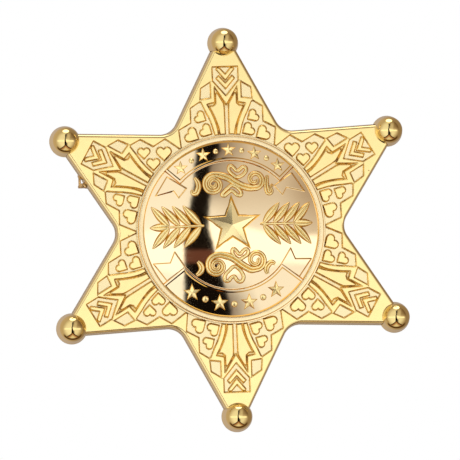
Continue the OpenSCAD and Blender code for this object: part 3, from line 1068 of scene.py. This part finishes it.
emblem = cut_star("emblem", STAR_OUT, STAR_IN, STAR_WALL, STAR_CUT)
lay_tree, entry = growing_tree("laid", {"Up": "Float", **DOME_INPUTS})
shift = vector_of(lay_tree, Y=entry["Up"])
moved = made(lay_tree, "GeometryNodeTransform",
             {"Geometry": entry["Geometry"], "Translation": shift})
finish_tree(lay_tree, laid_on_dome(lay_tree, moved, entry), relief_gold)
seal_star = grown(emblem, lay_tree, {"Up": BAND_UP * MM, **dome_values}, "seal_star")
STAR_GOLD = (1.0, 0.80, 0.40)
star_relief_gold = struck_gold_with_painted_shade("seal_star_gold", STAR_GOLD, 0.18, 3000.0, 0.35)
seal_star.data.materials[0] = star_relief_gold

spray_tree, entry = growing_tree("spray", {"Pairs": "Int", "Start": "Float", "Step": "Float",
                                           "Leaf turn": "Float", "End leaf": "Float",
                                           "Up": "Float", **DOME_INPUTS})
start_at = vector_of(spray_tree, X=entry["Start"])
step_on = vector_of(spray_tree, X=entry["Step"])
nodes_line = made(spray_tree, "GeometryNodeMeshLine",
                  {"Count": entry["Pairs"], "Start Location": start_at, "Offset": step_on})
leaves = []
for sign in (1, -1):
    lean = vector_of(spray_tree, Z=math_node(spray_tree, "MULTIPLY", entry["Leaf turn"], sign))
    leaves.append(made(spray_tree, "GeometryNodeInstanceOnPoints",
                       {"Points": nodes_line, "Instance": entry["Geometry"], "Rotation": lean}))
end_x = math_node(spray_tree, "MULTIPLY_ADD", entry["Step"],
                  math_node(spray_tree, "SUBTRACT", entry["Pairs"], 1.0), entry["Start"])
end_at = vector_of(spray_tree, X=end_x)
end_size = vector_of(spray_tree, X=entry["End leaf"], Y=1.0, Z=1.0)
leaves.append(made(spray_tree, "GeometryNodeTransform",
                   {"Geometry": entry["Geometry"], "Translation": end_at, "Scale": end_size}))
one_side = made(spray_tree, "GeometryNodeJoinGeometry", {0: leaves})
pair = made(spray_tree, "GeometryNodePoints", {"Count": 2})
number = made(spray_tree, "GeometryNodeInputIndex")
around = vector_of(spray_tree, Z=math_node(spray_tree, "MULTIPLY", number, math.pi))
both = made(spray_tree, "GeometryNodeInstanceOnPoints",
            {"Points": pair, "Instance": one_side, "Rotation": around})
real = made(spray_tree, "GeometryNodeRealizeInstances", {"Geometry": both})
shift = vector_of(spray_tree, Y=entry["Up"])
moved = made(spray_tree, "GeometryNodeTransform", {"Geometry": real, "Translation": shift})
finish_tree(spray_tree, laid_on_dome(spray_tree, moved, entry), relief_gold)
spray_values = {"Pairs": LEAF_PAIRS, "Start": SPRAY_START * MM, "Step": SPRAY_STEP * MM,
                "Leaf turn": LEAF_TURN, "End leaf": END_LEAF, "Up": BAND_UP * MM, **dome_values}
sprays = grown(leaf("leaf"), spray_tree, spray_values, "seal_sprays")
stem_end = SPRAY_START + (LEAF_PAIRS - 1) * SPRAY_STEP
stem_rows = [(SPRAY_START - 0.5, 0.35), (SPRAY_START, 0.6), (stem_end, 0.5)]
stem_lines = [[(sign * x, BAND_UP, width) for x, width in stem_rows] for sign in (1, -1)]
stem_curve = stroke_curve("stem_lines", stem_lines)
stems = grown(stem_curve, stroke_tree, {**heart_values, "Step": STEM_STEP * MM}, "seal_stems")
bpy.data.objects.remove(plain)

# Ribbon marks. Each ribbon carries a row of small cut stars with a round pellet between each
# two, struck on the ribbon.
MARK_FOOT = 0.05
MARK_IN = 0.42
MARK_WALL = 0.24
MARK_CUT = 0.14
PELLET_RISE = 0.3
PELLET_COLUMNS = 20
# Rows of (name, marks, ribbon's inner radius, middle angle, half angle, star's and pellet's radii)
MARKS = [("top_ribbon_marks", 9, TOP_IN, math.pi / 2, math.radians(38), 1.25, 0.5),
         ("low_ribbon_marks", 7, LOW_IN, -math.pi / 2, math.radians(34), 1.5, 0.6)]


def pellet(name, radius):
    profile = [(0, -MARK_FOOT), (radius, -MARK_FOOT)]
    profile += [(radius * math.cos(t), PELLET_RISE * math.sin(t)) for t in quarter(6)[:-1]]
    profile += [(0, PELLET_RISE)]
    return turned_shape(profile, 0j, PELLET_COLUMNS).piece(name)


mark_tree, entry = growing_tree("marks", {"Pellet": "Object", "Count": "Int", "Radius": "Float",
                                          "First": "Float", "Step": "Float", "Ribbon": "Float",
                                          **DOME_INPUTS})
number = made(mark_tree, "GeometryNodeInputIndex")
angle = math_node(mark_tree, "MULTIPLY_ADD", number, entry["Step"], entry["First"])
mark_x = math_node(mark_tree, "MULTIPLY", math_node(mark_tree, "COSINE", angle), entry["Radius"])
mark_y = math_node(mark_tree, "MULTIPLY", math_node(mark_tree, "SINE", angle), entry["Radius"])
place = vector_of(mark_tree, X=mark_x, Y=mark_y, Z=entry["Ribbon"])
line = made(mark_tree, "GeometryNodePoints", {"Count": entry["Count"], "Position": place})
odd = math_node(mark_tree, "MODULO", number, 2.0)
even = math_node(mark_tree, "SUBTRACT", 1.0, odd)
pellets = add(mark_tree, "GeometryNodeObjectInfo", {"Object": entry["Pellet"]}).outputs["Geometry"]
stars = made(mark_tree, "GeometryNodeInstanceOnPoints",
             {"Points": line, "Selection": even, "Instance": entry["Geometry"]})
rounds = made(mark_tree, "GeometryNodeInstanceOnPoints",
              {"Points": line, "Selection": odd, "Instance": pellets})
all_marks = made(mark_tree, "GeometryNodeJoinGeometry", {0: [stars, rounds]})
real = made(mark_tree, "GeometryNodeRealizeInstances", {"Geometry": all_marks})
finish_tree(mark_tree, laid_on_dome(mark_tree, real, entry, entry["Ribbon"]), relief_gold)

marks = []
for name, count, r_in, middle, half, star_r, pellet_r in MARKS:
    dot = pellet(name + "_pellet", pellet_r)
    small_star = cut_star(name + "_star", star_r, MARK_IN * star_r, MARK_WALL, MARK_CUT, MARK_FOOT)
    values = {"Pellet": dot, "Count": count, "Radius": (r_in + RIBBON_OUT) / 2 * dome_r * MM,
              "First": middle - half, "Step": 2 * half / (count - 1), "Ribbon": RIBBON_RISE * MM,
              **dome_values}
    marks.append(grown(small_star, mark_tree, values, name))
    bpy.data.objects.remove(dot)
FACET = math.radians(8)
for piece in [seal_star] + marks:
    piece.data.set_sharp_from_angle(angle=FACET)
for piece in [scrolls, hearts, stems, seal_star, sprays] + marks:
    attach(piece, "root")

# Bar pin. A plated strip soldered across the back, whose ears at the left end hold the coil of a
# wire with a point, and whose right end is bent into the hook that keeps the point shut. The
# strip's left end has a window over the coil, between a bar and two rails.
pin_low, pin_high = corners("pin_back")
STRIP_W = 2.5
STRIP_T = 0.5
EAR_L = 3.2
EAR_ROUND = 0.9
HOOK_L = 2.4
WIRE_D = 0.9
COIL_D = 1.6
PIN_EDGE = 0.07
CORNER_R = 0.35
CORNER_STEPS = 5
END_BAR = 0.45
WINDOW_L = 1.3
LOW_RAIL = 0.8
HIGH_RAIL = 0.4
LIP_TAPER = 0.3
pin_y = pin_high.y - STRIP_W / 2
low_y = pin_y - STRIP_W / 2
high_y = pin_high.y
lip_y = pin_low.y
strip_low = pin_high.z - STRIP_T
wire_z = (pin_low.z + pin_high.z) / 2 - STRIP_T / 2
pin_shape = Shape()


def slab(outline, low, high, axis):
    """Adds a plate with that outline between two heights along an axis, 1 for Y and 2 for Z"""
    count = len(outline)
    spots = []
    for level in (low, high):
        for a, b in outline:
            spots.append((a, level, b) if axis == 1 else (a, b, level))
    bottom = tuple(range(count))
    faces = rows_of_faces(2, count, closed=True) + [bottom[::-1], tuple(i + count for i in bottom)]
    if axis == 1:
        faces = [f[::-1] for f in faces]
    pin_shape.add(spots, faces)


def rounded_corner(x, y, radius, start):
    """Quarter of a circle about a point, from an angle in degrees on"""
    turns = [math.radians(start + 90 * i / CORNER_STEPS) for i in range(CORNER_STEPS + 1)]
    return [(x + radius * math.cos(t), y + radius * math.sin(t)) for t in turns]


turn_x = pin_high.x - CORNER_R
window_left = pin_low.x + END_BAR
window_right = window_left + WINDOW_L
slab([(window_right, low_y)] + rounded_corner(turn_x, low_y + CORNER_R, CORNER_R, 270)
     + rounded_corner(turn_x, high_y - CORNER_R, CORNER_R, 0) + [(window_right, high_y)],
     strip_low, pin_high.z, 2)
around_window = [(pin_low.x, window_left, low_y, high_y),
                 (window_left, window_right, low_y, low_y + LOW_RAIL),
                 (window_left, window_right, high_y - HIGH_RAIL, high_y)]
for left_x, right_x, near_y, far_y in around_window:
    outline = [(left_x, near_y), (right_x, near_y), (right_x, far_y), (left_x, far_y)]
    slab(outline, strip_low, pin_high.z, 2)
ear_right = pin_low.x + EAR_L
ear = [(ear_right, strip_low), (pin_low.x, strip_low)]
ear += rounded_corner(pin_low.x + EAR_ROUND, pin_low.z + EAR_ROUND, EAR_ROUND, 180)
ear += rounded_corner(ear_right - EAR_ROUND, pin_low.z + EAR_ROUND, EAR_ROUND, 270)
for ear_y in (low_y, high_y - STRIP_T):
    slab(ear, ear_y, ear_y + STRIP_T, 1)
# The hook is a wall beside the wire, a floor under it, and a lip that turns up before it
hook_left = pin_high.x - HOOK_L
under = pin_low.z + STRIP_T
slab([(hook_left, strip_low), (hook_left, pin_low.z), (pin_high.x, pin_low.z), (pin_high.x, strip_low)],
     high_y - STRIP_T, high_y, 1)
slab([(hook_left, lip_y), (pin_high.x, lip_y), (pin_high.x, high_y), (hook_left, high_y)],
     pin_low.z, under, 2)
slab([(hook_left, under), (hook_left, pin_low.z), (pin_high.x, pin_low.z), (pin_high.x, under),
      (pin_high.x - LIP_TAPER, wire_z), (hook_left + LIP_TAPER, wire_z)],
     lip_y, lip_y + STRIP_T, 1)
bar = pin_shape.piece("bar_pin_strip", weld=0)
applied(bar, "BEVEL", width=PIN_EDGE * MM, segments=2, limit_method="ANGLE", angle_limit=FOLD)
PIN_FOLD = math.radians(50)
bar.data.set_sharp_from_angle(angle=PIN_FOLD)

POINT_L = 6.0
POINT_POWER = 1.6
COIL_TURNS = 3
COIL_GAP = 0.02
RIVET_R = 0.5
RIVET_RISE = 0.12
WIRE_COLUMNS = 16
COIL_COLUMNS = 24
RIVET_COLUMNS = 20
coil_x = pin_low.x + EAR_L / 2
wire_end = pin_high.x - STRIP_T
point_x = wire_end - POINT_L
wire_profile = [(0, coil_x)]
wire_profile += [(WIRE_D / 2, x) for x in np.linspace(coil_x, point_x, 14)]
wire_profile += [(WIRE_D / 2 * (1 - t ** POINT_POWER), point_x + POINT_L * t)
                 for t in np.linspace(0, 1, 10)[1:-1]]
wire_profile += [(0, wire_end)]
wire = turned_shape(wire_profile, 0j, WIRE_COLUMNS)
wire.vertices = [(z, pin_y + x, wire_z + y) for x, y, z in wire.vertices]
coil_half = STRIP_W / 2 - STRIP_T - COIL_GAP
coil_profile = [(0, -coil_half)]
pitch = 2 * coil_half / COIL_TURNS
for turn in range(COIL_TURNS):
    for t in np.linspace(0, math.pi, 9):
        wide = COIL_D / 2 - pitch / 2 * (1 - math.sin(t))
        coil_profile.append((wide, -coil_half + pitch * (turn + (1 - math.cos(t)) / 2)))
coil_profile += [(0, coil_half)]
head_z = -STRIP_W / 2 + COIL_GAP
head_h = RIVET_RISE + COIL_GAP
rivet_profile = [(RIVET_R * math.sin(t), head_z - head_h * math.cos(t)) for t in quarter(5)]
rivet_profile += [(r, -z) for r, z in reversed(rivet_profile)]
for profile, profile_columns in ((coil_profile, COIL_COLUMNS), (rivet_profile, RIVET_COLUMNS)):
    turned = turned_shape(profile, 0j, profile_columns)
    wire.add([(coil_x + x, pin_y + z, wire_z - y) for x, y, z in turned.vertices], turned.faces)
wire_obj = wire.piece("bar_pin_wire")
wire_obj.data.set_sharp_from_angle(angle=PIN_FOLD)

PIN_GOLD = (0.56, 0.35, 0.15)
WIRE_GOLD = (0.50, 0.32, 0.15)
pin_gold = plated("pin_gold", PIN_GOLD, 0.2, 2500.0, 0.8)[0]
wire_gold = plated("wire_gold", WIRE_GOLD, 0.28, 2500.0, 0.6)[0]
bar.data.materials.append(pin_gold)
wire_obj.data.materials.append(wire_gold)
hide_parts("pin_back")
for piece in (bar, wire_obj):
    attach(piece, "root")

# Camera. The photograph looks at the badge a little from its left and from below, from far away.
LENS = 422.0
SENSOR = 36.0
PICTURE_W = 460
DISTANCE = 1.0
TO_LEFT = math.radians(5.3)
TO_BELOW = math.radians(2.5)
ROLL = math.radians(2.2)
MIDDLE_OFF = (-1.1, -0.95)
pixel = SENSOR / LENS * DISTANCE / PICTURE_W
aside = Vector(MIDDLE_OFF) * pixel
axis = Vector((-math.tan(TO_LEFT), -math.tan(TO_BELOW), 1)).normalized()
rough_up = Vector((math.sin(ROLL), math.cos(ROLL), 0))
up = (rough_up - rough_up.dot(axis) * axis).normalized()
right = up.cross(axis)
middle = Vector((0, 0, face_z * MM))
lens = bpy.data.cameras.new("camera")
lens.lens = LENS
lens.sensor_width = SENSOR
lens.clip_start = 0.01
lens.clip_end = 50
camera = linked("camera", lens)
turned_to = Matrix((right, up, axis)).transposed().to_4x4()
eye = middle + axis * DISTANCE + right * aside.x + up * aside.y
camera.matrix_world = Matrix.Translation(eye) @ turned_to
bpy.context.scene.camera = camera
bpy.context.scene.view_settings.view_transform = "Standard"

# Floor. A white table that glows evenly, so that the badge lies on it without a shadow, as in a
# picture cut out on white. It is clear from below.
FLOOR_HALF = 3000.0
WHITE = (1, 1, 1, 1)
floor = Shape()
floor_corners = [(-1, -1), (1, -1), (1, 1), (-1, 1)]
floor.add([(x * FLOOR_HALF, y * FLOOR_HALF, 0) for x, y in floor_corners], [(0, 1, 2, 3)])
floor_obj = floor.piece("floor")
white = bpy.data.materials.new("white_table")
white.use_nodes = True
tree = white.node_tree
tree.nodes.clear()
glow = made(tree, "ShaderNodeEmission", {"Color": WHITE, "Strength": 1.0})
clear = made(tree, "ShaderNodeBsdfTransparent")
below = add(tree, "ShaderNodeNewGeometry").outputs["Backfacing"]
table = made(tree, "ShaderNodeMixShader", {0: below, 1: glow, 2: clear})
add(tree, "ShaderNodeOutputMaterial", {"Surface": table})
floor_obj.data.materials.append(white)
floor_obj.visible_glossy = False

# Light. A white tent with a slit for the camera in front, a warm card below it and a soft box
# above, written as the brightness of each direction as it is seen from the camera. Most pairs of
# numbers say where a change starts and ends: -1 and 1 are straight against and along an axis.
world = bpy.data.worlds.new("tent")
bpy.context.scene.world = world
world.use_nodes = True
tree = world.node_tree
tree.nodes.clear()
look = add(tree, "ShaderNodeTexCoord").outputs["Generated"]


def part(way):
    """How far a direction goes one way"""
    dot = add(tree, "ShaderNodeVectorMath", {0: look, 1: tuple(way)}, operation="DOT_PRODUCT")
    return dot.outputs["Value"]


def plus(first, second):
    return math_node(tree, "ADD", first, second)


def minus(first, second):
    return math_node(tree, "SUBTRACT", first, second)


def times(first, second):
    return math_node(tree, "MULTIPLY", first, second)


def size_of(value):
    return math_node(tree, "ABSOLUTE", value)


def step(value, low, high):
    return made(tree, "ShaderNodeMapRange", {0: value, 1: low, 2: high}, interpolation_type="SMOOTHSTEP")


def along_rows(value, places, sizes):
    """Size at a value, on straight lines from place to place"""
    total = sizes[0]
    for low, high, at_low, at_high in zip(places, places[1:], sizes, sizes[1:]):
        total = plus(ramp(tree, value, low, high, 0.0, at_high - at_low), total)
    return total


def blend(share, first, second):
    return mixed(tree, share, first, second)


WARMTH = 0.25


def warm(value):
    """Light of a brightness, warmer where it is dim"""
    parts = {k: math_node(tree, "POWER", value, 1.0 + WARMTH * k) for k in range(3)}
    return made(tree, "ShaderNodeCombineColor", parts)


def beyond(aside_share, up_share, front_share):
    """How far a direction lies past a plane through the eye, with a like plane at the other side"""
    return plus(times(ry, up_share), plus(times(rz, front_share), times(from_middle, aside_share)))


rx, ry, rz = part(right), part(up), part(axis)
from_middle = size_of(rx)
FRONT = (-0.1, 0.05)
WELL_FRONT = (0.0, 0.1)
in_front = step(rz, *FRONT)
well_in_front = step(rz, *WELL_FRONT)

# The tent's cloth is dimmer to the right, more so high up, and falls off towards the horizon
ACROSS_MIDDLE = (-0.05, 0.15)
CLOTH_LIGHT = (1.2, 1.08)
HIGH_UP = (0.0, 0.4)
HIGH_DIM = (0.12, 0.33)
FAR_RIGHT = (0.45, 0.7)
FAR_RIGHT_UP = (-0.2, 0.1)
FAR_RIGHT_DIM = 0.3
HORIZON_LIGHT = 0.55
HORIZON_DIM = 0.15
HORIZON_RISE = (-0.1, 0.75)
high_up = times(step(ry, *HIGH_UP), ramp(tree, rx, *ACROSS_MIDDLE, *HIGH_DIM))
cloth = minus(ramp(tree, rx, *ACROSS_MIDDLE, *CLOTH_LIGHT), high_up)
far_right = times(step(rx, *FAR_RIGHT), step(ry, *FAR_RIGHT_UP))
cloth = minus(cloth, times(far_right, FAR_RIGHT_DIM))
horizon = minus(HORIZON_LIGHT, times(step(rx, *ACROSS_MIDDLE), HORIZON_DIM))
rise = step(rz, *HORIZON_RISE)
cloth = times(cloth, plus(times(rise, minus(1.0, horizon)), horizon))

# Behind and below the tent the table is dim, and its far end is brown
TABLE_LEFT = (0.64, 0.54, 0.46, 1)
TABLE_RIGHT = (0.36, 0.28, 0.22, 1)
TABLE_END = (0.12, 0.06, 0.02, 1)
TABLE_ACROSS = (-0.6, 0.6)
TABLE_TOP = (-0.15, 0.05)
END_UP = (-0.45, -0.7)
END_FRONT = (-0.55, -0.4)
table_light = blend(step(rx, *TABLE_ACROSS), TABLE_LEFT, TABLE_RIGHT)
at_end = times(step(ry, *END_UP), step(rz, *END_FRONT))
light = blend(step(rz, *TABLE_TOP), blend(at_end, table_light, TABLE_END), warm(cloth))

# A bright streak lies across at the camera's height, narrower at its ends
STREAK = (1.6, 1.6, 1.6, 1)
STREAK_DOWN = 0.05
STREAK_OUT = (0.1, 0.5)
STREAK_HALF = (0.2, 0.09)
STREAK_EDGE = 0.03
STREAK_FRONT = (0.1, 0.5)
streak_half = ramp(tree, from_middle, *STREAK_OUT, *STREAK_HALF)
off_streak = minus(size_of(plus(ry, STREAK_DOWN)), streak_half)
in_streak = times(step(off_streak, STREAK_EDGE, -STREAK_EDGE), step(rz, *STREAK_FRONT))
light = blend(in_streak, light, STREAK)

# The slit for the camera is wide below and bends to the left, black but for a brown band near its
# middle, and its right edge glows brown high up and low down. Its rows go from below upwards.
SLIT_UP = [-0.45, 0.1, 0.35, 0.4, 0.5, 0.6]
SLIT_HALF = [0.16, 0.085, 0.06, 0.055, 0.055, 0.08]
SLIT_MIDDLE = [0.01, -0.07, -0.03, -0.03, -0.03, 0.01]
SLIT_EDGE = 0.014
SLIT_BLACK = (0.006, 0.004, 0.003, 1)
SLIT_BROWN = (0.14, 0.055, 0.04, 1)
EDGE_BROWN = (0.12, 0.07, 0.05, 1)
EDGE_START = (-0.02, 0.0)
EDGE_FADE = (0.0, 0.2, 0.8, 0.0)
ENDS_UP = (0.2, 0.4)
BROWN_DOWN = 0.1
BROWN_HALF = (0.06, 0.03)
slit_half = along_rows(ry, SLIT_UP, SLIT_HALF)
off_slit = minus(rx, along_rows(ry, SLIT_UP, SLIT_MIDDLE))
past_slit = minus(off_slit, slit_half)
beside_slit = times(step(past_slit, *EDGE_START), ramp(tree, past_slit, *EDGE_FADE))
at_ends = times(step(size_of(ry), *ENDS_UP), well_in_front)
light = blend(times(beside_slit, at_ends), light, EDGE_BROWN)
in_slit = times(step(minus(size_of(off_slit), slit_half), SLIT_EDGE, -SLIT_EDGE), well_in_front)
brown_band = step(size_of(plus(ry, BROWN_DOWN)), *BROWN_HALF)
light = blend(in_slit, light, blend(brown_band, SLIT_BLACK, SLIT_BROWN))

# The warm card lies low, paler towards the viewer's feet, with a dark border, and a pale flap
# hangs at each side
CARD_EDGE = (-0.773, -0.521, -0.363)
CARD_BORDER = (0.03, 0.018, 0.01, 1)
CARD_NEAR = (0.43, 0.175, 0.06, 1)
CARD_FAR = (0.95, 0.9, 0.8, 1)
BORDER_HALF = (0.075, 0.04)
CARD_START = (0.04, 0.07)
CARD_PALE = (0.06, 0.4)
FLAP_EDGE = (-0.898, 0.283, -0.334)
FLAP_START = (0.0, 0.04)
FLAP = (0.9, 0.9, 0.9, 1)
on_card = beyond(*CARD_EDGE)
light = blend(times(step(size_of(on_card), *BORDER_HALF), in_front), light, CARD_BORDER)
card = blend(step(on_card, *CARD_PALE), CARD_NEAR, CARD_FAR)
light = blend(times(step(on_card, *CARD_START), in_front), light, card)
light = blend(times(step(beyond(*FLAP_EDGE), *FLAP_START), in_front), light, FLAP)

# The soft box hangs overhead, and the camera itself sees plain white
SOFT_BOX = (3, 3, 3, 1)
BOX_EDGE = (0.93, 0.965)
light = blend(step(ry, *BOX_EDGE), light, SOFT_BOX)
seen = add(tree, "ShaderNodeLightPath").outputs["Is Camera Ray"]
light = blend(seen, light, WHITE)
glow = made(tree, "ShaderNodeBackground", {"Color": light, "Strength": 1.0})
add(tree, "ShaderNodeOutputWorld", {"Surface": glow})
